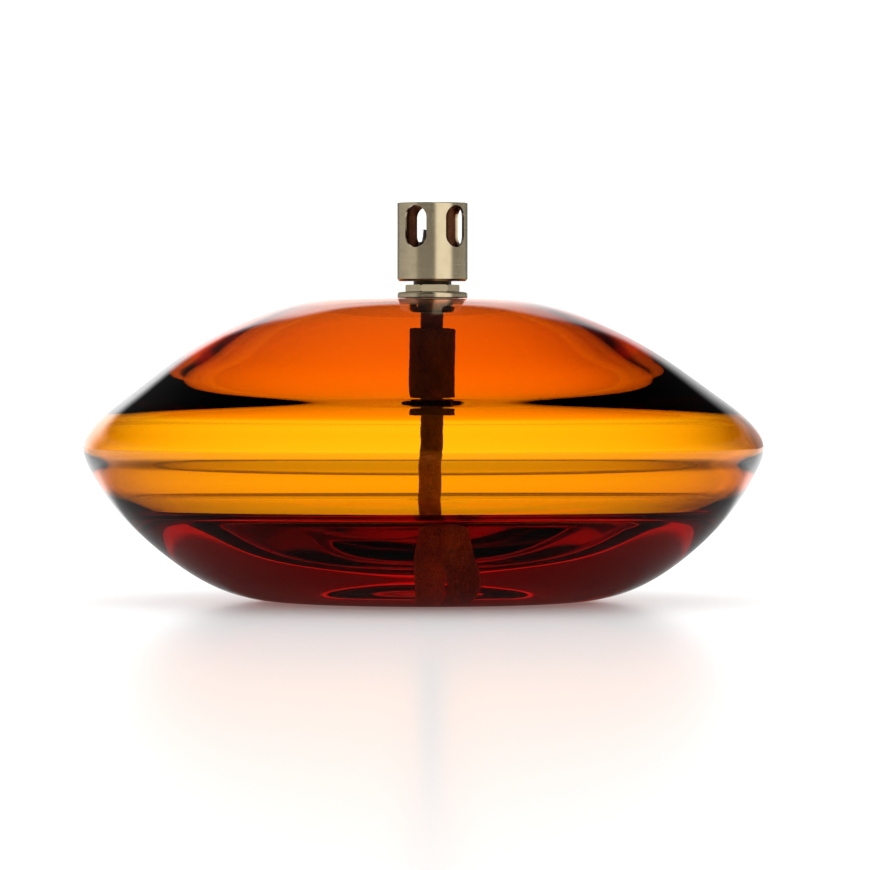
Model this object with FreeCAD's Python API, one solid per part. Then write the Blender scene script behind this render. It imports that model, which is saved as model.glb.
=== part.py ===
import FreeCAD, Part
import math
import os

# A free-standing oil lamp: a lens-shaped hand-blown glass vessel with a brass burner resting in its mouth.
# Millimetres. The origin is the centre of the flat base, and +Z runs up the burner's axis.

V = FreeCAD.Vector
UP = V(0, 0, 1)
FULL_TURN = 360.0
LEVEL_SLACK = 0.01
ROUND_SLACK = 0.05

# ---- glass vessel: (radius, height) points of its outside and of its hollow ----
MOUTH_R = 10.9
MOUTH_LIP_R = 0.6
PLATEAU_Z = 107.8
BASE_R = 48.0
FLOOR_R = 46.0
FLOOR_Z = 7.0
OUTSIDE = [
    (BASE_R, 0.0), (62.0, 0.9), (77.0, 5.7), (93.2, 16.2), (108.3, 30.5), (117.9, 44.7),
    (121.4, 55.6), (116.2, 64.2), (104.0, 74.2), (86.0, 87.4), (65.0, 98.9), (45.5, 105.8), (31.0, PLATEAU_Z),
]
HOLLOW = [
    (FLOOR_R, FLOOR_Z), (60.0, 7.4), (72.1, 10.4), (86.1, 17.4), (101.0, 29.0), (110.8, 39.1), (116.8, 49.0),
    (119.0, 54.4), (116.5, 60.0), (110.3, 66.3), (100.5, 71.9), (87.1, 80.6), (69.7, 90.9), (50.7, 99.5),
    (32.8, 103.8), (22.0, 103.8),
]
THROAT = (MOUTH_R + MOUTH_LIP_R, 104.2)
HOLLOW_MIDDLE = (60.0, 55.0)
WIDEST_R = max(r for r, z in OUTSIDE)

# ---- oil ----
OIL_Z = 33.0
OIL_GAP = 0.3
WICK_ROOM = 0.7

# ---- burner: turned brass pieces stacked on one axis ----
FLANGE_R = 12.6
FLANGE_T = 2.5
FLANGE_EDGE_R = 1.0
FLANGE_CHAMFER = 0.5
SPIGOT_R = 10.45
SPIGOT_L = 1.5
SEAT_DEPTH = 0.4
THREAD_R = 6.8
THREAD_GAP = 0.04
NUT_SIDES = 6
NUT_CORNERS = 19.4
NUT_T = 2.5
NUT_CHAMFER = 0.35
NECK_TOP_Z = 114.0
STEM_FOOT_Z = 106.4
GUARD_SPIGOT_R = 6.0
GUARD_SPIGOT_L = 3.5
SPIGOT_CHAMFER = 0.5

COLLAR_R = 8.0
COLLAR_BORE_R = 6.6
COLLAR_FOOT_Z = 98.9
COLLAR_FOOT_T = 1.3
COLLAR_EDGE_R = 1.1
WINDOW_COUNT = 3
WINDOW_DEG = 61.0
WINDOW_FIRST_DEG = -25.6
WINDOW_Z = (100.8, 103.8)
WINDOW_ROOT_R = 5.6

TUBE_R = 5.2
TUBE_BORE_R = 4.45
TUBE_TOP_Z = 128.0
TUBE_FIT_GAP = 0.02

# ---- flame guard ----
GUARD_R = 12.7
GUARD_WALL = 1.1
GUARD_FLOOR_T = 1.6
GUARD_TOP_Z = 142.0
GUARD_CHAMFER = 0.8
GUARD_RIM_R = 0.3
GUARD_FIT_GAP = 0.06
SLOT_COUNT = 5
SLOT_FIRST_DEG = -29.8
SLOT_W = 8.7
SLOT_Z = (126.0, 141.0)

# ---- wick: a round glass-fibre braid that folds up once at the bottom of the vessel ----
WICK_D = 8.0
BEND_SHARE = 0.45
WICK_DROP = [
    (0.10, 0.00, 132.5), (-0.10, 0.10, 104.6), (0.10, -0.10, 76.0), (-0.60, -1.40, 47.0), (-1.20, -2.50, 30.0),
]
WICK_FOLD = [
    (-1.50, -3.40, 18.0), (0.55, 0.70, 11.4), (4.30, 8.40, 11.4), (6.80, 12.80, 18.0), (8.70, 13.30, 24.0),
    (9.80, 12.90, 28.4),
]
SLEEVE_R = 8.25
SLEEVE_BORE_R = 4.2
SLEEVE_Z = (77.0, 94.6)
SLEEVE_SLIT = 0.8
SLEEVE_SLIT_DEG = -75.0
SLEEVE_EDGE_R = 0.5


def save(shape, name):
    """Writes one piece to its own file."""
    shape.exportStep("parts/" + name + ".step")


def line(a, b):
    return Part.LineSegment(V(a[0], 0, a[1]), V(b[0], 0, b[1])).toShape()


def spline(points):
    """A smooth curve through (radius, height) points that leaves its first and last point level."""
    curve = Part.BSplineCurve()
    ends = {"InitialTangent": V(1, 0, 0), "FinalTangent": V(-1, 0, 0), "Scale": False}
    curve.interpolate(Points=[V(r, 0, z) for r, z in points], **ends)
    return curve.toShape()


def quarter_arc(start, end, corner):
    """A quarter circle from start to end that rounds the corner point."""
    centre = (start[0] + end[0] - corner[0], start[1] + end[1] - corner[1])
    half = math.sqrt(0.5)
    middle = (centre[0] + (corner[0] - centre[0]) * half, centre[1] + (corner[1] - centre[1]) * half)
    return Part.Arc(*(V(r, 0, z) for r, z in (start, middle, end))).toShape()


def turned(edges):
    """The solid that a closed outline sweeps round the Z axis."""
    face = Part.Face(Part.Wire(Part.__sortEdges__(edges)))
    return face.revolve(V(0, 0, 0), UP, FULL_TURN)


def outline(points):
    """The edges of a closed polygon."""
    return [line(a, b) for a, b in zip(points, points[1:] + points[:1])]


def ring(bore_r, outer_r, low_z, high_z):
    return turned(outline([(bore_r, low_z), (outer_r, low_z), (outer_r, high_z), (bore_r, high_z)]))


def towards(angle_deg):
    """The level direction at an angle from the front (-Y), positive towards +X."""
    angle = math.radians(angle_deg)
    return V(math.sin(angle), -math.cos(angle), 0)


def facing(shape, angle_deg):
    """A shape made facing the front, turned to face another way."""
    turned_shape = shape.copy()
    turned_shape.rotate(V(0, 0, 0), UP, angle_deg)
    return turned_shape


def round_edges(shape, radius, wanted):
    return shape.makeFillet(radius, [edge for edge in shape.Edges if wanted(edge)])


def chamfer_edges(shape, size, wanted):
    return shape.makeChamfer(size, [edge for edge in shape.Edges if wanted(edge)])


def circle_at(radius, z):
    """A test for the round edges of a turned shape at one radius and height."""
    def found(edge):
        box = edge.BoundBox
        level = abs(box.ZMin - z) < LEVEL_SLACK and box.ZLength < LEVEL_SLACK
        return level and abs(box.XLength - 2 * radius) < ROUND_SLACK
    return found


def glass_reservoir():
    lip_top = (MOUTH_R + MOUTH_LIP_R, PLATEAU_Z)
    lip_side = (MOUTH_R, PLATEAU_Z - MOUTH_LIP_R)
    throat_side = (MOUTH_R, THROAT[1] + MOUTH_LIP_R)
    edges = [
        line((0, 0), OUTSIDE[0]),
        spline(OUTSIDE),
        line(OUTSIDE[-1], lip_top),
        quarter_arc(lip_top, lip_side, (MOUTH_R, PLATEAU_Z)),
        line(lip_side, throat_side),
        quarter_arc(throat_side, THROAT, (MOUTH_R, THROAT[1])),
        spline(HOLLOW + [THROAT]),
        line((0, FLOOR_Z), HOLLOW[0]),
        line((0, 0), (0, FLOOR_Z)),
    ]
    return turned(edges)


def drawn_in(point):
    """A point of the hollow moved off the glass by the oil's gap; the floor stays in contact."""
    r, z = point
    out_r, out_z = r - HOLLOW_MIDDLE[0], z - HOLLOW_MIDDLE[1]
    far = math.hypot(out_r, out_z)
    if z == FLOOR_Z:
        return r - OIL_GAP, z
    return r - OIL_GAP * out_r / far, z - OIL_GAP * out_z / far


def upright_slot(near, far):
    """A vertical slot with round ends from one point to another, from the floor to above the oil."""
    half = WICK_D / 2 + WICK_ROOM
    along = V(far[0] - near[0], far[1] - near[1], 0)
    block = Part.makeBox(along.Length, 2 * half, OIL_Z)
    block.translate(V(0, -half, 0))
    block.rotate(V(0, 0, 0), UP, math.degrees(math.atan2(along.y, along.x)))
    block.translate(V(near[0], near[1], 0))
    ends = [Part.makeCylinder(half, OIL_Z, V(x, y, 0)) for x, y, z in (near, far)]
    return block.fuse(ends)


def wick_channel():
    """The room that the oil leaves for the folded wick."""
    slots = [upright_slot(near, far) for near, far in zip(WICK_FOLD, WICK_FOLD[1:])]
    return slots[0].fuse(slots[1:]).removeSplitter()


def lamp_oil():
    wall = [drawn_in(point) for point in HOLLOW]
    hollow = turned([
        line((0, FLOOR_Z), wall[0]),
        spline(wall),
        line(wall[-1], (0, wall[-1][1])),
        line((0, wall[-1][1]), (0, FLOOR_Z)),
    ])
    below = Part.makeCylinder(WIDEST_R, OIL_Z)
    return hollow.common(below).cut(wick_channel())


def burner_flange():
    """The round plate on the glass, with a spigot in the mouth and a seat for the collar."""
    seat_r = COLLAR_R + THREAD_GAP
    seat_z = PLATEAU_Z - SEAT_DEPTH
    shape = turned(outline([
        (THREAD_R + THREAD_GAP, PLATEAU_Z + FLANGE_T), (FLANGE_R, PLATEAU_Z + FLANGE_T), (FLANGE_R, PLATEAU_Z),
        (SPIGOT_R, PLATEAU_Z), (SPIGOT_R, PLATEAU_Z - SPIGOT_L), (seat_r, PLATEAU_Z - SPIGOT_L),
        (seat_r, seat_z), (THREAD_R + THREAD_GAP, seat_z),
    ]))
    shape = round_edges(shape, FLANGE_EDGE_R, circle_at(FLANGE_R, PLATEAU_Z + FLANGE_T))
    return chamfer_edges(shape, FLANGE_CHAMFER, circle_at(FLANGE_R, PLATEAU_Z))


def lock_nut():
    """A thin hexagon nut with its corners turned off top and bottom."""
    low_z = PLATEAU_Z + FLANGE_T
    side_deg = FULL_TURN / NUT_SIDES
    corners = [towards(WINDOW_FIRST_DEG + side_deg * i) * (NUT_CORNERS / 2) for i in range(NUT_SIDES + 1)]
    hexagon = Part.Face(Part.makePolygon(corners)).extrude(UP * NUT_T)
    hexagon.translate(V(0, 0, low_z))
    envelope = ring(THREAD_R + THREAD_GAP, NUT_CORNERS / 2, low_z, low_z + NUT_T)
    for z in (low_z, low_z + NUT_T):
        envelope = chamfer_edges(envelope, NUT_CHAMFER, circle_at(NUT_CORNERS / 2, z))
    return hexagon.common(envelope)


def burner_stem():
    """The threaded tube that the collar and the nut clamp the flange on, with a spigot for the guard."""
    bore = TUBE_R + TUBE_FIT_GAP
    shape = turned(outline([
        (bore, STEM_FOOT_Z), (THREAD_R, STEM_FOOT_Z), (THREAD_R, NECK_TOP_Z), (GUARD_SPIGOT_R, NECK_TOP_Z),
        (GUARD_SPIGOT_R, NECK_TOP_Z + GUARD_SPIGOT_L), (bore, NECK_TOP_Z + GUARD_SPIGOT_L),
    ]))
    return chamfer_edges(shape, SPIGOT_CHAMFER, circle_at(GUARD_SPIGOT_R, NECK_TOP_Z + GUARD_SPIGOT_L))


def vent_window():
    """A wedge that cuts one window in the collar's wall, facing the front."""
    low, high = WINDOW_Z
    side = 2 * COLLAR_R
    start, end = towards(-WINDOW_DEG / 2) * side, towards(WINDOW_DEG / 2) * side
    wedge = Part.Face(Part.makePolygon([V(0, 0, low), start + UP * low, end + UP * low, V(0, 0, low)]))
    return wedge.extrude(UP * (high - low)).cut(Part.makeCylinder(WINDOW_ROOT_R, high))


def vent_collar():
    """The cup under the flange that lets air into the vessel as the oil burns."""
    top_z = PLATEAU_Z - SEAT_DEPTH
    shape = turned(outline([
        (TUBE_R + TUBE_FIT_GAP, COLLAR_FOOT_Z), (COLLAR_R, COLLAR_FOOT_Z), (COLLAR_R, top_z),
        (THREAD_R + THREAD_GAP, top_z), (THREAD_R + THREAD_GAP, STEM_FOOT_Z), (COLLAR_BORE_R, STEM_FOOT_Z),
        (COLLAR_BORE_R, COLLAR_FOOT_Z + COLLAR_FOOT_T), (TUBE_R + TUBE_FIT_GAP, COLLAR_FOOT_Z + COLLAR_FOOT_T),
    ]))
    shape = round_edges(shape, COLLAR_EDGE_R, circle_at(COLLAR_R, COLLAR_FOOT_Z))
    for i in range(WINDOW_COUNT):
        shape = shape.cut(facing(vent_window(), WINDOW_FIRST_DEG + i * FULL_TURN / WINDOW_COUNT))
    return shape


def wick_tube():
    return ring(TUBE_BORE_R, TUBE_R, COLLAR_FOOT_Z, TUBE_TOP_Z)


def guard_slot():
    """An upright slot with round ends, facing the front, long enough to cut one wall."""
    low, high = SLOT_Z
    half = SLOT_W / 2
    block = Part.makeBox(SLOT_W, GUARD_R, high - low - SLOT_W)
    block.translate(V(-half, -2 * GUARD_R + half, low + half))
    ends = []
    for z in (low + half, high - half):
        ends.append(Part.makeCylinder(half, GUARD_R, V(0, -2 * GUARD_R + half, z), V(0, 1, 0)))
    return block.fuse(ends).removeSplitter()


def flame_guard():
    """An open-topped brass cup that stands on the stem's shoulder, with slots round the flame."""
    floor_z = NECK_TOP_Z + GUARD_FLOOR_T
    bore = GUARD_SPIGOT_R + GUARD_FIT_GAP
    inner_r = GUARD_R - GUARD_WALL
    shape = turned(outline([
        (bore, NECK_TOP_Z), (GUARD_R, NECK_TOP_Z), (GUARD_R, GUARD_TOP_Z),
        (inner_r, GUARD_TOP_Z), (inner_r, floor_z), (bore, floor_z),
    ]))
    shape = chamfer_edges(shape, GUARD_CHAMFER, circle_at(GUARD_R, NECK_TOP_Z))
    shape = round_edges(shape, GUARD_RIM_R, circle_at(GUARD_R, GUARD_TOP_Z))
    for i in range(SLOT_COUNT):
        shape = shape.cut(facing(guard_slot(), SLOT_FIRST_DEG + i * FULL_TURN / SLOT_COUNT))
    return shape


def corner_arc(before, corner, after):
    """The arc that rounds one corner of a route, its two ends and its radius."""
    back, ahead = before - corner, after - corner
    shorter = min(back.Length, ahead.Length)
    back.normalize()
    ahead.normalize()
    half_turn = (math.pi - back.getAngle(ahead)) / 2
    reach = BEND_SHARE * shorter
    radius = reach / math.tan(half_turn)
    inward = back + ahead
    inward.normalize()
    start, end = corner + back * reach, corner + ahead * reach
    middle = corner + inward * (radius / math.cos(half_turn) - radius)
    return Part.Arc(start, middle, end).toShape(), start, end, radius


def tube_along(route, diameter):
    """A round tube along straight runs joined by tangent arcs."""
    points = [V(*point) for point in route]
    edges, radii, here = [], [], points[0]
    for before, corner, after in zip(points, points[1:], points[2:]):
        arc, start, end, radius = corner_arc(before, corner, after)
        edges += [Part.LineSegment(here, start).toShape(), arc]
        radii.append(radius)
        here = end
    edges.append(Part.LineSegment(here, points[-1]).toShape())
    path = Part.Wire(edges)
    section = Part.Wire(Part.Circle(points[0], points[1] - points[0], diameter / 2).toShape())
    tube = path.makePipeShell([section], True, False, 2)
    expected = math.pi * diameter ** 2 / 4 * path.Length
    print("wick length %.1f, bend radii" % path.Length, [round(radius, 1) for radius in radii])
    print("wick volume %.1f, section times length %.1f" % (tube.Volume, expected))
    return tube


def wick_sleeve():
    """A thick split sleeve that grips the wick below the burner."""
    low, high = SLEEVE_Z
    shape = ring(SLEEVE_BORE_R, SLEEVE_R, low, high)
    for z in SLEEVE_Z:
        shape = round_edges(shape, SLEEVE_EDGE_R, circle_at(SLEEVE_R, z))
    slit = Part.makeBox(SLEEVE_SLIT, 2 * SLEEVE_R, high - low, V(-SLEEVE_SLIT / 2, -2 * SLEEVE_R, low))
    return shape.cut(facing(slit, SLEEVE_SLIT_DEG))


PIECES = {
    "glass_reservoir": glass_reservoir,
    "lamp_oil": lamp_oil,
    "burner_flange": burner_flange,
    "lock_nut": lock_nut,
    "burner_stem": burner_stem,
    "vent_collar": vent_collar,
    "wick_tube": wick_tube,
    "flame_guard": flame_guard,
    "wick_sleeve": wick_sleeve,
}

os.makedirs("parts", exist_ok=True)
for name, make in PIECES.items():
    save(make(), name)
save(tube_along(WICK_DROP + WICK_FOLD, WICK_D), "wick")
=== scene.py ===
import math

import bpy
import numpy as np
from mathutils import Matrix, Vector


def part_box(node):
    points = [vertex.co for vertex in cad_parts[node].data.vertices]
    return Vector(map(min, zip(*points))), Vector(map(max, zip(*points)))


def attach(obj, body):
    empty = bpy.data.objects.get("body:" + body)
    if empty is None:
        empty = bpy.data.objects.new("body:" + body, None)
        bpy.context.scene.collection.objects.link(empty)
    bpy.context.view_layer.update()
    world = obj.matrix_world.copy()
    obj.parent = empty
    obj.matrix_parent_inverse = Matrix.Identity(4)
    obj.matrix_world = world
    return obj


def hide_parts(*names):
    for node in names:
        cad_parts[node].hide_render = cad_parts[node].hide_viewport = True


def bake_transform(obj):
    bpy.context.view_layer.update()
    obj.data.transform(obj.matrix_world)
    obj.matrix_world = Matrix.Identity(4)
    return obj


# A hand-blown amber glass oil lamp on a pale floor. Metres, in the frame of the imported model.

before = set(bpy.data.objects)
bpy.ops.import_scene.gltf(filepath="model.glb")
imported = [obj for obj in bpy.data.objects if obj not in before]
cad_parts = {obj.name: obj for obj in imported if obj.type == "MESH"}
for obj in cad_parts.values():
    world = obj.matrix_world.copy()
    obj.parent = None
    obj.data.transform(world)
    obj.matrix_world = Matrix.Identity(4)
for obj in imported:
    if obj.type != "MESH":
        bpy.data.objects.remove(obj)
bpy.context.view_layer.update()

MM = 0.001
GLASS_LOW, GLASS_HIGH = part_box("glass_reservoir")
OIL_LOW, OIL_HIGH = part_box("lamp_oil")
TUBE_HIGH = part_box("wick_tube")[1]
SLEEVE_LOW, SLEEVE_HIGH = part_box("wick_sleeve")
WICK_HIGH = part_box("wick")[1]

# ---- camera ----
CAMERA_DISTANCE = 2.0
CAMERA_HEIGHT = 0.0895
CAMERA_ASIDE = 0.0009
CAMERA_PITCH_DEG = -0.87
CAMERA_LENS = 231.7
CAMERA_CLIP_END = 40.0

# ---- glass: (radius, height) points of its outside and of its hollow, in millimetres ----
PLATEAU_Z = GLASS_HIGH[2] / MM
MOUTH_R = 10.9
LIP_R = 0.6
FLOOR_Z = OIL_LOW[2] / MM
OUTSIDE = [
    (48.0, 0.0), (62.0, 0.9), (77.0, 5.7), (93.2, 16.2), (108.3, 30.5), (117.9, 44.7),
    (121.4, 55.6), (116.2, 64.2), (104.0, 74.2), (86.0, 87.4), (65.0, 98.9), (45.5, 105.8), (31.0, PLATEAU_Z),
]
HOLLOW = [
    (46.0, FLOOR_Z), (60.0, 7.4), (72.1, 10.4), (86.1, 17.4), (101.0, 29.0), (110.8, 39.1), (116.8, 49.0),
    (119.0, 54.4), (116.5, 60.0), (110.3, 66.3), (100.5, 71.9), (87.1, 80.6), (69.7, 90.9), (50.7, 99.5),
    (32.8, 103.8), (22.0, 103.8),
]
THROAT = (MOUTH_R + LIP_R, 104.2)
CENTRE_R = 2.0
GLASS_TURN_STEPS = 320
GLASS_POINT_GAP = 1.0
FLAT_STEPS = 20
PLATEAU_STEPS = 14
BORE_STEPS = 3
LIP_STEPS = 4
GLASS_IOR = 1.5
GLASS_SHINE = 0.12
GLASS_ABSORPTION = (22.0, 190.0, 1100.0)
DENSITY_MARGIN = 1.02

# ---- sideways lean of the blown glass, in millimetres: at the belt, more by the shoulder and the base ----
STRAIGHT_R, FREE_R = 12.0, 34.0
BELT_Z, SHOULDER_Z = 55.0, 100.0
OUTSIDE_LEAN = (-3.2, -1.2, 1.4)
HOLLOW_LEAN = (-3.3, -1.6, 1.2)

# ---- oil ----
OIL_IOR = 1.45
OIL_ABSORPTION = (0.2, 1.0, 6.0)
OIL_Z = OIL_HIGH[2] / MM
OIL_GAP = 0.05
MENISCUS = 2.0
MENISCUS_REACH = 2.0
WICK_MENISCUS = 0.8
FINE_SHARE, COARSE_SHARE = 0.004, 0.05
WALL_RINGS, OPEN_RINGS, WICK_RINGS = 11, 17, 28
OPEN_FROM, WICK_FROM = 0.95, 0.12

# ---- wick ----
WICK_R = 0.004
WICK_AT_OIL = (-0.0012, -0.0025)
WICK_ROUTE = [
    (0.0001, 0.0, TUBE_HIGH[2] + 0.0005), (-0.0001, 0.0001, 0.1046), (0.0001, -0.0001, 0.076),
    (-0.0006, -0.0014, 0.047), (*WICK_AT_OIL, 0.030),
    (-0.0015, -0.0034, 0.018), (0.00055, 0.0007, 0.0114), (0.0043, 0.0084, 0.0114),
    (0.0068, 0.0128, 0.018), (0.0087, 0.0133, 0.024), (0.0098, 0.0129, 0.0284),
]
WICK_POINT_GAP = 0.0003
WICK_COLUMNS = 120
BRAID_PAIRS = 12
BRAID_RELIEF = 0.00022
BRAID_SUNK = 0.6
WICK_SLACK = 0.00012
SLACK_ALONG, SLACK_TWIST = 410, 90
STRAND_START = 1000.0
SOAKED_Z = 0.0575
SOAKED_EDGE = 0.0015

# ---- burnt tip of the wick; the fibres' places are (least, spread) shares of its radius or height ----
TIP_SEED = 5
TIP_COLUMNS = 96
TIP_RINGS = 14
TIP_FOOT = 0.0004
TIP_RISE = 0.0003
TIP_TAPER = 0.2
TIP_RAGGED = 0.0013
TIP_SMOOTHING = (0.25, 0.5, 0.25)
TIP_FRAY = 0.0005
FRAY_MIDDLE = 0.6
LOOSE_FIBRES = 60
FIBRE_FOOT_R = (0.6, 0.25)
FIBRE_FOOT_Z = (0.2, 0.6)
FIBRE_LEAN_R = (0.95, 0.1)
FIBRE_LENGTH = 0.0014
FIBRE_RISE = 0.0006
FIBRE_R = 0.00016
FIBRE_SIDES = 3

# ---- sleeve ----
SLEEVE_SLIT_DEG = -75.0
SLEEVE_SLIT = 0.0008
SLEEVE_BORE_R = 0.0042
SLEEVE_EDGE_R = 0.0006
SLEEVE_EDGE_SMOOTH = 0.7
SLEEVE_BORE_EDGE = 0.0003
SLEEVE_EDGE_STEPS, SLEEVE_SIDE_STEPS, SLEEVE_BORE_STEPS = 6, 56, 8
SLEEVE_COLUMNS = 181
SLEEVE_PAIRS = 18
SLEEVE_PITCH = 0.0029
SLEEVE_RELIEF = 0.0003
SLEEVE_BULGE = 0.00018
BULGE_ROUND, BULGE_ALONG = (3, 1.3), (260, 2.0)
FRAY_WAVES = [(0.0002, 7, 0.0), (0.00015, 17, 0.6)]
FRAYED_FROM = 0.8

# ---- brass ----
GUARD_INSIDE_R = 0.0116
INSIDE_DARK_EDGE = 0.0008
SATIN_ROUGHNESS, DARK_ROUGHNESS = 0.17, 0.35
ROUGHNESS_SPREAD = (-0.04, 0.06)
TURNED_STRETCH = (40, 40, 9000)
TURNED_SCALE, TURNED_DETAIL = 1.0, 3.0
TURNED_BUMP, TURNED_DEPTH = 0.25, 0.00003
STAIN_SCALE, STAIN_DETAIL = 260.0, 6.0

# ---- colours: the light and the dark one of each ----
SATIN = ((0.56, 0.47, 0.31), (0.42, 0.34, 0.21))
# painted shade: near-black brass for the stem, the collar and the wick tube, which sit under the flange and
# inside the guard
PAINTED_SHADE_BRASS = ((0.035, 0.024, 0.014), (0.014, 0.010, 0.007))
INSIDE_DARK_BROWN = ((0.20, 0.07, 0.03), (0.03, 0.012, 0.008))
WICK_FIBRE = ((0.24, 0.13, 0.07), (0.08, 0.045, 0.025))
SOAKED_FIBRE = (0.75, 0.42, 0.16)
BURNT_FIBRE = ((0.035, 0.022, 0.015), (0.006, 0.005, 0.004))
# painted shade: the sleeve's braid colour is as dark as its shaded look against the lit hollow
SHADED_SLEEVE_FIBRE = ((0.11, 0.08, 0.065), (0.03, 0.023, 0.02))

# ---- braid surface ----
THREAD_SCALE, THREAD_DETAIL = 2600.0, 4.0
THREAD_BUMP, THREAD_DEPTH = 0.4, 0.0002
PATCH_SCALE, PATCH_DETAIL = 140.0, 5.0
BRAID_TONES = (0.12, 0.42)
BRAID_ROUGHNESS = 0.9
BRAID_SHEEN = 0.2

# ---- studio: (height share, value) and (degrees from the front towards +X, value) stops ----
FLOOR_SIZE = 30.0
FLOOR_DROP = 0.00002
FLOOR_GLOW = 0.12
FLOOR_TONE = 0.97
FLOOR_ROUGHNESS = 0.2
FLOOR_IOR = 1.12
# painted shadow: the floor's colour and glow are dimmed within these distances of the lamp, for sharp rays in
# or through the glass
PAINTED_SHADOW = 0.84
PAINTED_SHADOW_NEAR, PAINTED_SHADOW_FAR = 0.18, 0.30
BACKDROP = 1.1
BAND_STRENGTH = 1.5
LOW_BAND = [(0.0, 1.0), (0.22, 1.0), (0.33, 0.02)]
WINDOW_SIDES = [(-180, 1.0), (-171, 1.0), (-168, 0.0), (168, 0.0), (171, 1.0), (180, 1.0)]
WINDOW_HEIGHTS = [(0.0, 1.0), (0.44, 1.0), (0.52, 0.0)]
CLEAR_SIDES = [
    (-180, 1.0), (-160, 1.0), (-140, 0.1), (0, 0.05), (145, 0.08), (165, 0.3), (172, 0.6), (177, 1.0),
    (180, 1.0),
]
BRASS_SIDES = [
    (-180, 1.1), (-162, 1.1), (-150, 0.1), (-130, 0.45), (-60, 0.62), (-44, 0.16), (4, 0.14), (16, 1.5),
    (56, 1.5), (72, 0.22), (130, 0.34), (150, 0.05), (162, 1.1), (180, 1.1),
]
BRASS_HEIGHTS = [(0.0, 0.8), (0.45, 0.9), (0.51, 1.15), (0.6, 1.0), (1.0, 0.7)]
FILL_LIGHT = 1.0
BACK_LIGHT = 3.0
BACK_LIGHT_FOCUS = 3.0
BACK_LIGHT_HEIGHTS = [(0.05, 0.0), (0.3, 1.0), (0.5, 0.3), (0.8, 0.0)]
MAX_BOUNCES, GLOSSY_BOUNCES = 40, 24


# ================= small helpers =================

def mesh_object(name, points, faces, material, smooth=True):
    """A new mesh object with one material."""
    mesh = bpy.data.meshes.new(name)
    mesh.from_pydata([tuple(point) for point in points], [], [tuple(face) for face in faces])
    mesh.validate()
    mesh.materials.append(material)
    mesh.polygons.foreach_set("use_smooth", [smooth] * len(mesh.polygons))
    mesh.update()
    thing = bpy.data.objects.new(name, mesh)
    bpy.context.scene.collection.objects.link(thing)
    return thing


def node_material(name):
    """A new material with nodes: returns it, its node maker, its linker and its Principled shader."""
    material = bpy.data.materials.new(name)
    material.use_nodes = True
    tree = material.node_tree
    shader = tree.nodes["Principled BSDF"]

    def make(kind, **settings):
        node = tree.nodes.new(kind)
        for key, value in settings.items():
            setattr(node, key, value)
        return node

    return material, make, tree.links.new, shader


def smooth_curve(points, gap):
    """Evenly spaced points on a smooth curve through the given ones that leaves both ends level."""
    knots = np.array(points, float)
    spans = np.linalg.norm(np.diff(knots, axis=0), axis=1)
    at = np.concatenate([[0.0], np.cumsum(spans)])
    count = len(knots)
    system = np.eye(count)
    wanted = np.zeros((count, 2))
    wanted[0] = (1.0, 0.0)
    wanted[-1] = (-1.0, 0.0)
    for i in range(1, count - 1):
        before, after = spans[i - 1], spans[i]
        system[i, i - 1:i + 2] = (after, 2 * (before + after), before)
        rise = (knots[i] - knots[i - 1]) / before * after + (knots[i + 1] - knots[i]) / after * before
        wanted[i] = 3 * rise
    slopes = np.linalg.solve(system, wanted)
    curve = []
    for where in np.linspace(0.0, at[-1], int(at[-1] / gap) + 1):
        i = min(int(np.searchsorted(at, where, side="right")) - 1, count - 2)
        span = spans[i]
        t = (where - at[i]) / span
        start = knots[i] * (1 + 2 * t) * (1 - t) ** 2 + slopes[i] * span * t * (1 - t) ** 2
        end = knots[i + 1] * t * t * (3 - 2 * t) + slopes[i + 1] * span * t * t * (t - 1)
        curve.append(start + end)
    return np.array(curve)


def quarter_arc(start, corner, end, steps):
    """Points on the quarter circle from start to end that rounds a corner, without its two ends."""
    start, corner, end = np.array(start), np.array(corner), np.array(end)
    centre = start + end - corner
    turns = [math.pi / 2 * i / steps for i in range(1, steps)]
    return [centre + (start - centre) * math.cos(turn) + (end - centre) * math.sin(turn) for turn in turns]


def straight(start, end, steps):
    """Points from start towards end, without the end."""
    start, end = np.array(start, float), np.array(end, float)
    return [start + (end - start) * i / steps for i in range(steps)]


def eased(value, low, high):
    """0 below low, 1 above high, smooth between."""
    t = np.clip((value - low) / (high - low), 0.0, 1.0)
    return t * t * (3 - 2 * t)


# ================= glass and oil =================

def glass_profile():
    """The outline of the glass from the middle of its base to the middle of its hollow's floor."""
    outside = smooth_curve(OUTSIDE, GLASS_POINT_GAP)
    lip_top = (MOUTH_R + LIP_R, PLATEAU_Z)
    lip_side = (MOUTH_R, PLATEAU_Z - LIP_R)
    throat_side = (MOUTH_R, THROAT[1] + LIP_R)
    lip = straight(outside[-1], lip_top, PLATEAU_STEPS)
    lip += [np.array(lip_top)] + quarter_arc(lip_top, (MOUTH_R, PLATEAU_Z), lip_side, LIP_STEPS)
    lip += straight(lip_side, throat_side, BORE_STEPS) + [np.array(throat_side)]
    lip += quarter_arc(throat_side, (MOUTH_R, THROAT[1]), THROAT, LIP_STEPS)
    hollow = smooth_curve(HOLLOW + [THROAT], GLASS_POINT_GAP)[::-1]
    base = straight((CENTRE_R, 0.0), OUTSIDE[0], FLAT_STEPS)
    floor = straight(HOLLOW[0], (CENTRE_R, FLOOR_Z), FLAT_STEPS)[1:] + [np.array((CENTRE_R, FLOOR_Z))]
    outer = np.array(base + list(outside[:-1]) + lip)
    inner = np.array(list(hollow) + floor)
    return outer, inner


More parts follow.
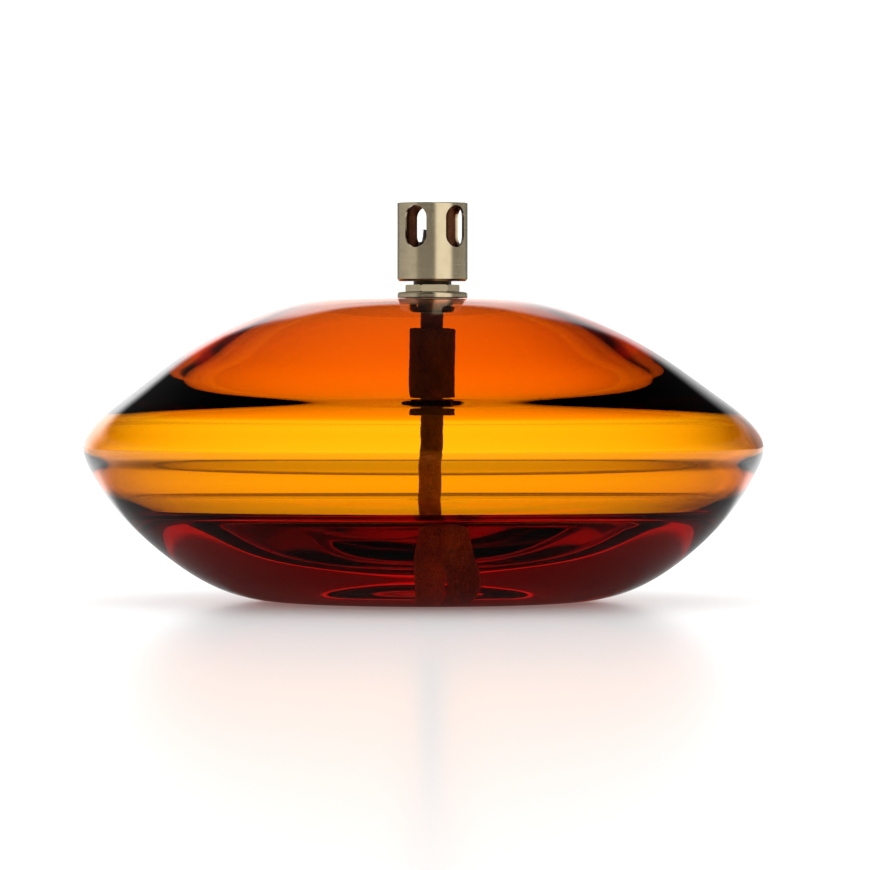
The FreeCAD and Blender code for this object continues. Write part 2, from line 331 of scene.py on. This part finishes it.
def uneven(profile, lean):
    """The hand-blown surface that a profile makes: an array of rings of points, in millimetres."""
    turns = np.arange(GLASS_TURN_STEPS) * 2 * math.pi / GLASS_TURN_STEPS
    r = profile[:, 0:1]
    z = profile[:, 1:2]
    free = eased(r, STRAIGHT_R, FREE_R)
    high = eased(z, BELT_Z, SHOULDER_Z)
    low = 1.0 - eased(z, 0.0, BELT_Z)
    aside = free * (lean[0] + lean[1] * high + lean[2] * low)
    x = r * np.cos(turns) + aside
    y = r * np.sin(turns)
    return np.stack([x, y, np.broadcast_to(z, x.shape)], axis=2)


def ring_faces(rings, columns):
    """Quads between neighbouring rings, facing outwards when the rings go from the base up the outside."""
    faces = []
    for ring in range(rings - 1):
        low = ring * columns
        for i in range(columns):
            j = (i + 1) % columns
            faces.append((low + i, low + j, low + columns + j, low + columns + i))
    return faces


def closed_shell(rings):
    """Points and faces of rings closed by a point at each end."""
    count, columns = rings.shape[0], rings.shape[1]
    points = list(rings.reshape(-1, 3)) + [rings[0].mean(axis=0), rings[-1].mean(axis=0)]
    start, end = count * columns, count * columns + 1
    faces = ring_faces(count, columns)
    last = (count - 1) * columns
    for i in range(columns):
        j = (i + 1) % columns
        faces.append((start, j, i))
        faces.append((end, last + i, last + j))
    return np.array(points) * MM, faces


def set_ior(thing, values):
    """Stores one refractive index for each face."""
    layer = thing.data.attributes.new("index", "FLOAT", "FACE")
    layer.data.foreach_set("value", values)


def clear_material(name, ior, absorption):
    """A clear body that takes up light by colour; absorption is per metre for red, green and blue."""
    material, make, link, shader = node_material(name)
    index = make("ShaderNodeAttribute", attribute_name="index")
    shader.inputs["Base Color"].default_value = (1, 1, 1, 1)
    shader.inputs["Roughness"].default_value = 0.0
    shader.inputs["IOR"].default_value = ior
    shader.inputs["Transmission Weight"].default_value = 1.0
    shader.inputs["Specular Tint"].default_value = (GLASS_SHINE, GLASS_SHINE, GLASS_SHINE, 1)
    link(index.outputs["Fac"], shader.inputs["IOR"])
    density = max(absorption) * DENSITY_MARGIN
    inside = make("ShaderNodeVolumeAbsorption")
    inside.inputs["Color"].default_value = tuple(1 - value / density for value in absorption) + (1,)
    inside.inputs["Density"].default_value = density
    output = next(node for node in material.node_tree.nodes if node.type == "OUTPUT_MATERIAL")
    link(inside.outputs[0], output.inputs["Volume"])
    return material


def make_glass():
    """The glass, whose faces under the oil's line bend light by less than the dry ones."""
    outer, inner = glass_profile()
    rings = np.concatenate([uneven(outer, OUTSIDE_LEAN), uneven(inner, HOLLOW_LEAN)])
    points, faces = closed_shell(rings)
    glass = mesh_object("glass", points, faces, clear_material("amber_glass", GLASS_IOR, GLASS_ABSORPTION))
    wet = GLASS_IOR / OIL_IOR
    line = OIL_Z + MENISCUS
    profile = np.concatenate([outer, inner])
    values = []
    for ring in range(len(profile) - 1):
        under_oil = ring >= len(outer) and profile[ring:ring + 2, 1].mean() < line
        values += [wet if under_oil else GLASS_IOR] * GLASS_TURN_STEPS
    values += [GLASS_IOR, wet] * GLASS_TURN_STEPS
    set_ior(glass, values)
    return glass


def make_oil():
    """The oil: the hollow's wall up to its line, and a top that climbs the glass and the wick a little."""
    inner = glass_profile()[1][::-1]
    line = OIL_Z + MENISCUS
    wall = inner[:np.argmax(inner[:, 1] > line)]
    level = wall[-1, 1]
    steps = np.diff(wall, axis=0)
    steps = np.concatenate([steps, steps[-1:]])
    across = np.stack([-steps[:, 1], steps[:, 0]], axis=1)
    across /= np.linalg.norm(across, axis=1)[:, None]
    wall_rings = uneven(wall + across * OIL_GAP, HOLLOW_LEAN)
    edge = wall_rings[-1]
    middle = np.array(WICK_AT_OIL) / MM
    top_rings = []
    shares = [1 - FINE_SHARE * i for i in range(1, WALL_RINGS + 1)]
    shares += [OPEN_FROM - COARSE_SHARE * i for i in range(OPEN_RINGS)]
    shares += [WICK_FROM - FINE_SHARE * i for i in range(WICK_RINGS)]
    reach = np.linalg.norm(edge[:, :2] - middle, axis=1)
    for share in shares:
        flat = middle + (edge[:, :2] - middle) * share
        from_wall = reach * (1 - share)
        from_wick = np.maximum(reach * share - WICK_R / MM, 0)
        height = OIL_Z + (level - OIL_Z) * np.exp(-from_wall / MENISCUS_REACH)
        height = height + WICK_MENISCUS * np.exp(-from_wick / MENISCUS_REACH)
        top_rings.append(np.column_stack([flat, height]))
    rings = np.concatenate([wall_rings, np.array(top_rings)])
    points, faces = closed_shell(rings)
    oil = mesh_object("oil", points, faces, clear_material("lamp_oil", OIL_IOR, OIL_ABSORPTION))
    values = [1.0] * GLASS_TURN_STEPS * (len(wall_rings) - 1)
    values += [OIL_IOR] * GLASS_TURN_STEPS * len(top_rings)
    values += [1.0, OIL_IOR] * GLASS_TURN_STEPS
    set_ior(oil, values)
    return oil


# ================= wick and sleeve =================

def route_curve(name, route):
    """A smooth open curve with the route's points as its control points."""
    curve = bpy.data.curves.new(name, "CURVE")
    curve.dimensions = "3D"
    curve.resolution_u = 24
    spline = curve.splines.new("NURBS")
    spline.points.add(len(route) - 1)
    for point, place in zip(spline.points, route):
        point.co = (*place, 1.0)
    spline.order_u = 3
    spline.use_endpoint_u = True
    return curve


def curve_points(curve):
    """The points that Blender gives for a curve, in order."""
    thing = bpy.data.objects.new("route", curve)
    bpy.context.scene.collection.objects.link(thing)
    bpy.context.view_layer.update()
    mesh = bpy.data.meshes.new_from_object(thing.evaluated_get(bpy.context.evaluated_depsgraph_get()))
    points = [vertex.co.copy() for vertex in mesh.vertices]
    bpy.data.objects.remove(thing)
    bpy.data.meshes.remove(mesh)
    return points


def respaced(points, gap):
    """Evenly spaced points along a line of points."""
    places = np.array([tuple(point) for point in points])
    at = np.concatenate([[0.0], np.cumsum(np.linalg.norm(np.diff(places, axis=0), axis=1))])
    wanted = np.linspace(0.0, at[-1], int(at[-1] / gap) + 1)
    return np.stack([np.interp(wanted, at, places[:, i]) for i in range(3)], axis=1), wanted


def plait(a, b):
    """Height of a plain plait at strand coordinates a and b: 1 on a strand's crest, 0 in the gaps."""
    over = (np.floor(a) + np.floor(b)) % 2 < 1
    across = np.where(over, a, b) % 1.0
    along = np.where(over, b, a) % 1.0
    crest = np.sqrt(np.clip(1 - (2 * across - 1) ** 2, 0, 1))
    return crest * (0.55 + 0.45 * np.sin(math.pi * along))


def cross_axes(directions):
    """Two axes across each direction of a line, carried along it without twist."""
    side = np.array([1.0, 0.0, 0.0])
    sides, others = [], []
    for direction in directions:
        side = side - direction * np.dot(side, direction)
        side /= np.linalg.norm(side)
        sides.append(side)
        others.append(np.cross(direction, side))
    return np.array(sides), np.array(others)


def make_wick(material):
    """The braid along its route, and the line that it follows."""
    line, at = respaced(curve_points(route_curve("wick_route", WICK_ROUTE)), WICK_POINT_GAP)
    directions = np.gradient(line, axis=0)
    directions /= np.linalg.norm(directions, axis=1)[:, None]
    sides, others = cross_axes(directions)
    turns = np.arange(WICK_COLUMNS) * 2 * math.pi / WICK_COLUMNS
    strand = BRAID_PAIRS * turns / (2 * math.pi)
    length = at / (2 * math.pi * WICK_R / BRAID_PAIRS)
    a = strand[None, :] + length[:, None]
    b = strand[None, :] - length[:, None] + STRAND_START
    slack = WICK_SLACK * np.sin(at * SLACK_ALONG)[:, None] * np.cos(turns + at[:, None] * SLACK_TWIST)
    radius = WICK_R - BRAID_SUNK * BRAID_RELIEF + BRAID_RELIEF * plait(a, b) + slack
    rings = line[:, None, :] + radius[:, :, None] * (
        sides[:, None, :] * np.cos(turns)[None, :, None] + others[:, None, :] * np.sin(turns)[None, :, None])
    points, faces = closed_shell(rings[::-1] / MM)
    wick = mesh_object("wick_braid", points, faces, material)
    return wick, [tuple(point) for point in line]


def fibre(base, top):
    """Points and faces of one thin three-sided fibre that tapers to a point."""
    points = []
    for i in range(FIBRE_SIDES):
        turn = 2 * math.pi * i / FIBRE_SIDES
        points.append((base[0] + FIBRE_R * math.cos(turn), base[1] + FIBRE_R * math.sin(turn), base[2]))
    return points + [top], [(0, 1, 3), (1, 2, 3), (2, 0, 3), (2, 1, 0)]


def spread(limits, share):
    """A value in (least, spread) limits at a share of the spread."""
    return limits[0] + limits[1] * share


def make_wick_tip(material):
    """The burnt, frayed top of the wick above its tube: a ragged bundle with loose fibres round it."""
    chance = np.random.default_rng(TIP_SEED)
    low = WICK_ROUTE[0][2] - TIP_FOOT
    high = WICK_HIGH[2] + TIP_RISE
    turns = np.arange(TIP_COLUMNS) * 2 * math.pi / TIP_COLUMNS
    ragged = np.convolve(chance.random(TIP_COLUMNS + 2), TIP_SMOOTHING, "valid") * TIP_RAGGED
    share = np.linspace(0.0, 1.0, TIP_RINGS)[:, None]
    height = low + (high - low - ragged[None, :]) * share
    fray = (chance.random((TIP_RINGS, TIP_COLUMNS)) - FRAY_MIDDLE) * TIP_FRAY * share
    radius = (WICK_R - BRAID_RELIEF) * (1 - TIP_TAPER * share) + fray
    rings = np.stack([radius * np.cos(turns), radius * np.sin(turns), height], axis=2)
    points, faces = closed_shell(rings[::-1] / MM)
    points = list(points)
    for _ in range(LOOSE_FIBRES):
        turn = chance.random() * 2 * math.pi
        foot = WICK_R * spread(FIBRE_FOOT_R, chance.random())
        foot_z = low + (high - low) * spread(FIBRE_FOOT_Z, chance.random())
        lean = WICK_R * spread(FIBRE_LEAN_R, chance.random())
        top_z = min(foot_z + FIBRE_LENGTH, high + FIBRE_RISE)
        base = (foot * math.cos(turn), foot * math.sin(turn), foot_z)
        more, sides = fibre(base, (lean * math.cos(turn), lean * math.sin(turn), top_z))
        faces += [tuple(len(points) + i for i in side) for side in sides]
        points += more
    return mesh_object("wick_tip", points, faces, material)


def sleeve_section():
    """The (radius, height) outline of the sleeve's wall, from its outer bottom edge round to its bore."""
    low, high = SLEEVE_LOW[2], SLEEVE_HIGH[2]
    outer, bore, edge = SLEEVE_HIGH[1], SLEEVE_BORE_R, SLEEVE_EDGE_R
    turns = [math.pi / 2 * i / SLEEVE_EDGE_STEPS for i in range(SLEEVE_EDGE_STEPS + 1)]
    side = (high - low - 2 * edge) / SLEEVE_SIDE_STEPS
    down = (low - high) / SLEEVE_BORE_STEPS
    section = [(outer - edge + edge * math.sin(turn), low + edge - edge * math.cos(turn)) for turn in turns]
    section += [(outer, low + edge + side * i) for i in range(1, SLEEVE_SIDE_STEPS)]
    section += [(outer - edge + edge * math.cos(turn), high - edge + edge * math.sin(turn)) for turn in turns]
    section += [(bore + SLEEVE_BORE_EDGE, high), (bore, high - SLEEVE_BORE_EDGE)]
    section += [(bore, high + down * i) for i in range(1, SLEEVE_BORE_STEPS)]
    section += [(bore, low + SLEEVE_BORE_EDGE), (bore + SLEEVE_BORE_EDGE, low)]
    return np.array(section)


def make_sleeve(material):
    """A split sleeve: an upright section turned almost all the way round and closed at the slit."""
    middle = (SLEEVE_LOW[2] + SLEEVE_HIGH[2]) / 2
    half = (SLEEVE_HIGH[2] - SLEEVE_LOW[2]) / 2
    outer = SLEEVE_HIGH[1]
    section = sleeve_section()
    slit = SLEEVE_SLIT / outer
    start = math.radians(SLEEVE_SLIT_DEG - 90) + slit / 2
    turns = start + np.linspace(0.0, 2 * math.pi - slit, SLEEVE_COLUMNS)
    r = np.broadcast_to(section[:, 0], (len(turns), len(section)))
    z = np.broadcast_to(section[:, 1], r.shape)
    on_side = eased(r, outer - SLEEVE_EDGE_R * SLEEVE_EDGE_SMOOTH, outer)
    strand = SLEEVE_PAIRS * turns[:, None] / (2 * math.pi)
    a = strand + z / SLEEVE_PITCH
    b = strand - z / SLEEVE_PITCH + STRAND_START
    waves_round = np.sin(BULGE_ROUND[0] * turns[:, None] + BULGE_ROUND[1])
    bulge = SLEEVE_BULGE * waves_round * np.sin(z * BULGE_ALONG[0] + BULGE_ALONG[1])
    r = r + on_side * (SLEEVE_RELIEF * plait(a, b) - SLEEVE_RELIEF + bulge)
    near_end = np.abs(z - middle) / half
    frayed = sum(size * np.sin(count * turns[:, None] + phase) for size, count, phase in FRAY_WAVES)
    inwards = sum(size for size, count, phase in FRAY_WAVES) * np.sign(middle - z)
    z = z + eased(near_end, FRAYED_FROM, 1.0) * (frayed + inwards)
    rings = np.stack([r * np.cos(turns)[:, None], r * np.sin(turns)[:, None], z], axis=2)
    count = len(section)
    faces = [face[::-1] for face in ring_faces(len(turns), count)]
    last = (len(turns) - 1) * count
    faces.append(tuple(range(count)))
    faces.append(tuple(last + count - 1 - i for i in range(count)))
    return mesh_object("sleeve_braid", rings.reshape(-1, 3), faces, material)


# ================= materials =================

def noise(make, link, place, scale, detail):
    """Noise of a scale and detail, read at a place."""
    node = make("ShaderNodeTexNoise")
    node.inputs["Scale"].default_value = scale
    node.inputs["Detail"].default_value = detail
    link(place, node.inputs["Vector"])
    return node.outputs["Fac"]


def mapped(make, link, value, start, end, low=0.0, high=1.0, **settings):
    """A value taken from the range start to end into the range low to high."""
    node = make("ShaderNodeMapRange", **settings)
    node.inputs["From Min"].default_value = start
    node.inputs["From Max"].default_value = end
    node.inputs["To Min"].default_value = low
    node.inputs["To Max"].default_value = high
    link(value, node.inputs["Value"])
    return node.outputs[0]


def mixed(make, link, share, first, second):
    """A colour at a share of the way between two, each a colour or a socket."""
    node = make("ShaderNodeMix", data_type="RGBA")
    link(share, node.inputs["Factor"])
    for name, colour in (("A", first), ("B", second)):
        if isinstance(colour, tuple):
            node.inputs[name].default_value = (*colour, 1)
        else:
            link(colour, node.inputs[name])
    return node.outputs["Result"]


def bumped(make, link, shader, height, strength, depth):
    """Roughens a shader's surface by a height."""
    bump = make("ShaderNodeBump")
    bump.inputs["Strength"].default_value = strength
    bump.inputs["Distance"].default_value = depth
    link(height, bump.inputs["Height"])
    link(bump.outputs[0], shader.inputs["Normal"])


def brass_material(name, colours, roughness, inside_dark_radius=0.0):
    """Aged brass with fine lines round it from turning, and darker brown inside a radius if one is given."""
    material, make, link, shader = node_material(name)
    place = make("ShaderNodeTexCoord").outputs["Object"]
    stretch = make("ShaderNodeMapping")
    stretch.inputs["Scale"].default_value = TURNED_STRETCH
    link(place, stretch.inputs["Vector"])
    lines = noise(make, link, stretch.outputs[0], TURNED_SCALE, TURNED_DETAIL)
    stains = noise(make, link, place, STAIN_SCALE, STAIN_DETAIL)
    light, dark = colours
    colour = mixed(make, link, stains, dark, light)
    smooth, rough = (roughness + change for change in ROUGHNESS_SPREAD)
    link(mapped(make, link, lines, 0.0, 1.0, smooth, rough), shader.inputs["Roughness"])
    bumped(make, link, shader, lines, TURNED_BUMP, TURNED_DEPTH)
    shader.inputs["Metallic"].default_value = 1.0
    # Inside the given radius the colour turns a darker brown.
    if inside_dark_radius:
        flat = make("ShaderNodeVectorMath", operation="MULTIPLY")
        flat.inputs[1].default_value = (1, 1, 0)
        link(place, flat.inputs[0])
        radius = make("ShaderNodeVectorMath", operation="LENGTH")
        link(flat.outputs[0], radius.inputs[0])
        inside_dark = mapped(make, link, radius.outputs["Value"], inside_dark_radius + INSIDE_DARK_EDGE, inside_dark_radius)
        light, dark = INSIDE_DARK_BROWN
        colour = mixed(make, link, inside_dark, colour, mixed(make, link, stains, dark, light))
    link(colour, shader.inputs["Base Color"])
    return material


def braid_material(name, colours, soaked=None):
    """Dull browned glass-fibre braid with fine threads, of another colour lower down if one is given."""
    material, make, link, shader = node_material(name)
    place = make("ShaderNodeTexCoord").outputs["Object"]
    threads = noise(make, link, place, THREAD_SCALE, THREAD_DETAIL)
    patches = noise(make, link, place, PATCH_SCALE, PATCH_DETAIL)
    both = make("ShaderNodeMath", operation="MULTIPLY")
    link(threads, both.inputs[0])
    link(patches, both.inputs[1])
    tone = mapped(make, link, both.outputs[0], *BRAID_TONES)
    light, dark = colours
    colour = mixed(make, link, tone, dark, light)
    if soaked:
        height = make("ShaderNodeSeparateXYZ")
        link(place, height.inputs[0])
        low = mapped(make, link, height.outputs["Z"], SOAKED_Z, SOAKED_Z - SOAKED_EDGE)
        colour = mixed(make, link, low, colour, mixed(make, link, tone, dark, soaked))
    link(colour, shader.inputs["Base Color"])
    bumped(make, link, shader, threads, THREAD_BUMP, THREAD_DEPTH)
    shader.inputs["Roughness"].default_value = BRAID_ROUGHNESS
    shader.inputs["Sheen Weight"].default_value = BRAID_SHEEN
    return material


def floor_material():
    """A satin white light table with a painted shadow close under the lamp, where it is seen in or through
    the glass.
    """
    material, make, link, shader = node_material("studio_floor")
    place = make("ShaderNodeTexCoord")
    far = make("ShaderNodeVectorMath", operation="LENGTH")
    link(place.outputs["Object"], far.inputs[0])
    distance = far.outputs["Value"]
    # painted shadow on the floor close under the lamp, seen only by sharp rays
    painted_shadow = mapped(make, link, distance, PAINTED_SHADOW_NEAR, PAINTED_SHADOW_FAR, PAINTED_SHADOW, 0.0, interpolation_type="SMOOTHSTEP")
    ray = make("ShaderNodeLightPath")
    shade = make("ShaderNodeMath", operation="MULTIPLY")
    link(painted_shadow, shade.inputs[0])
    link(ray.outputs["Is Singular Ray"], shade.inputs[1])
    light = make("ShaderNodeMath", operation="MULTIPLY_ADD")
    light.inputs[1].default_value = -FLOOR_GLOW
    light.inputs[2].default_value = FLOOR_GLOW
    link(shade.outputs[0], light.inputs[0])
    tone = mixed(make, link, shade.outputs[0], (FLOOR_TONE, FLOOR_TONE, FLOOR_TONE), (0, 0, 0))
    link(tone, shader.inputs["Base Color"])
    link(light.outputs[0], shader.inputs["Emission Strength"])
    shader.inputs["Emission Color"].default_value = (1, 1, 1, 1)
    shader.inputs["Roughness"].default_value = FLOOR_ROUGHNESS
    shader.inputs["IOR"].default_value = FLOOR_IOR
    return material


# ================= stage =================

def make_camera():
    data = bpy.data.cameras.new("camera")
    data.lens = CAMERA_LENS
    data.clip_end = CAMERA_CLIP_END
    camera = bpy.data.objects.new("camera", data)
    camera.location = (CAMERA_ASIDE, -CAMERA_DISTANCE, CAMERA_HEIGHT)
    camera.rotation_euler = (math.radians(90 + CAMERA_PITCH_DEG), 0.0, 0.0)
    bpy.context.scene.collection.objects.link(camera)
    bpy.context.scene.camera = camera


def make_floor():
    half = FLOOR_SIZE / 2
    corners = [(-half, -half, 0), (half, -half, 0), (half, half, 0), (-half, half, 0)]
    floor = mesh_object("floor", corners, [(0, 1, 2, 3)], floor_material(), smooth=False)
    floor.location.z = GLASS_LOW[2] - FLOOR_DROP


def ramp(tree, stops):
    """A grey colour ramp, eased between its (position, value) stops."""
    node = tree.nodes.new("ShaderNodeValToRGB")
    node.color_ramp.interpolation = "EASE"
    elements = node.color_ramp.elements
    while len(elements) < len(stops):
        elements.new(0.5)
    for element, (position, value) in zip(elements, stops):
        element.position = position
        element.color = (value, value, value, 1)
    return node


def make_world():
    """A studio as each kind of ray sees it: white behind, a bright low band, and softboxes for the brass."""
    world = bpy.data.worlds.new("studio")
    bpy.context.scene.world = world
    world.use_nodes = True
    world.cycles.sampling_method = "NONE"
    tree = world.node_tree
    tree.nodes.clear()
    link = tree.links.new

    def math_node(operation, *values):
        node = tree.nodes.new("ShaderNodeMath")
        node.operation = operation
        for socket, value in zip(node.inputs, values):
            if isinstance(value, (int, float)):
                socket.default_value = value
            else:
                link(value, socket)
        return node.outputs[0]

    place = tree.nodes.new("ShaderNodeTexCoord")
    split = tree.nodes.new("ShaderNodeSeparateXYZ")
    link(place.outputs["Generated"], split.inputs[0])
    x, y, z = split.outputs
    turn = math_node("ARCTAN2", x, math_node("MULTIPLY", y, -1.0))
    around = math_node("MULTIPLY_ADD", turn, 0.5 / math.pi, 0.5)

    def at_stops(value, stops):
        node = ramp(tree, stops)
        link(value, node.inputs[0])
        return node.outputs[0]

    def by_side(stops):
        return at_stops(around, [(0.5 + angle / 360.0, value) for angle, value in stops])

    window = math_node("MULTIPLY", by_side(WINDOW_SIDES), at_stops(z, WINDOW_HEIGHTS))
    band = math_node("MULTIPLY", math_node("MAXIMUM", at_stops(z, LOW_BAND), window), by_side(CLEAR_SIDES))
    height = at_stops(math_node("MULTIPLY_ADD", z, 0.5, 0.5), BRASS_HEIGHTS)
    back = math_node("POWER", math_node("MAXIMUM", y, 0.0), BACK_LIGHT_FOCUS)
    back = math_node("MULTIPLY", back, at_stops(z, BACK_LIGHT_HEIGHTS))
    soft = math_node("MULTIPLY_ADD", back, BACK_LIGHT, FILL_LIGHT)

    ray = tree.nodes.new("ShaderNodeLightPath")
    rough_glossy = math_node("SUBTRACT", ray.outputs["Is Glossy Ray"], ray.outputs["Is Singular Ray"])
    brass = math_node("MULTIPLY", by_side(BRASS_SIDES), height)
    seen = math_node("MULTIPLY", band, BAND_STRENGTH)
    for flag, value in ((rough_glossy, brass), (ray.outputs["Is Diffuse Ray"], soft),
                        (ray.outputs["Is Camera Ray"], BACKDROP)):
        pick = tree.nodes.new("ShaderNodeMix")
        link(flag, pick.inputs["Factor"])
        link(seen, pick.inputs["A"])
        if isinstance(value, float):
            pick.inputs["B"].default_value = value
        else:
            link(value, pick.inputs["B"])
        seen = pick.outputs["Result"]
    glow = tree.nodes.new("ShaderNodeBackground")
    glow.inputs["Color"].default_value = (1, 1, 1, 1)
    link(seen, glow.inputs["Strength"])
    output = tree.nodes.new("ShaderNodeOutputWorld")
    link(glow.outputs[0], output.inputs["Surface"])


def set_looks():
    scene = bpy.context.scene
    scene.view_settings.view_transform = "Standard"
    scene.cycles.max_bounces = MAX_BOUNCES
    scene.cycles.transmission_bounces = MAX_BOUNCES
    scene.cycles.glossy_bounces = GLOSSY_BOUNCES


make_camera()
wick, wick_line = make_wick(braid_material("wick_braid", WICK_FIBRE, SOAKED_FIBRE))
tip = make_wick_tip(braid_material("burnt_braid", BURNT_FIBRE))
# The sleeve's colour holds painted shade.
sleeve = make_sleeve(braid_material("sleeve_braid", SHADED_SLEEVE_FIBRE))
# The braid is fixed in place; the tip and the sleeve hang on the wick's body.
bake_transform(wick)
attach(tip, "wick")
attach(sleeve, "wick")
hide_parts("wick")
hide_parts("wick_sleeve")

glass = make_glass()
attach(glass, "vessel")
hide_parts("glass_reservoir")

oil = make_oil()
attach(oil, "vessel")
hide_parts("lamp_oil")

satin = brass_material("satin_brass", SATIN, SATIN_ROUGHNESS)
guard = brass_material("guard_brass", SATIN, SATIN_ROUGHNESS, GUARD_INSIDE_R)
# painted shade: the parts in recesses under the flange and inside the guard get near-black brass
dark = brass_material("dark_brass", PAINTED_SHADE_BRASS, DARK_ROUGHNESS)
for node, material in (("flame_guard", guard), ("burner_flange", satin), ("lock_nut", satin),
                       ("burner_stem", dark), ("vent_collar", dark), ("wick_tube", dark)):
    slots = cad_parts[node].material_slots
    for index in range(len(slots)):
        slots[index].material = material

make_floor()
make_world()
set_looks()
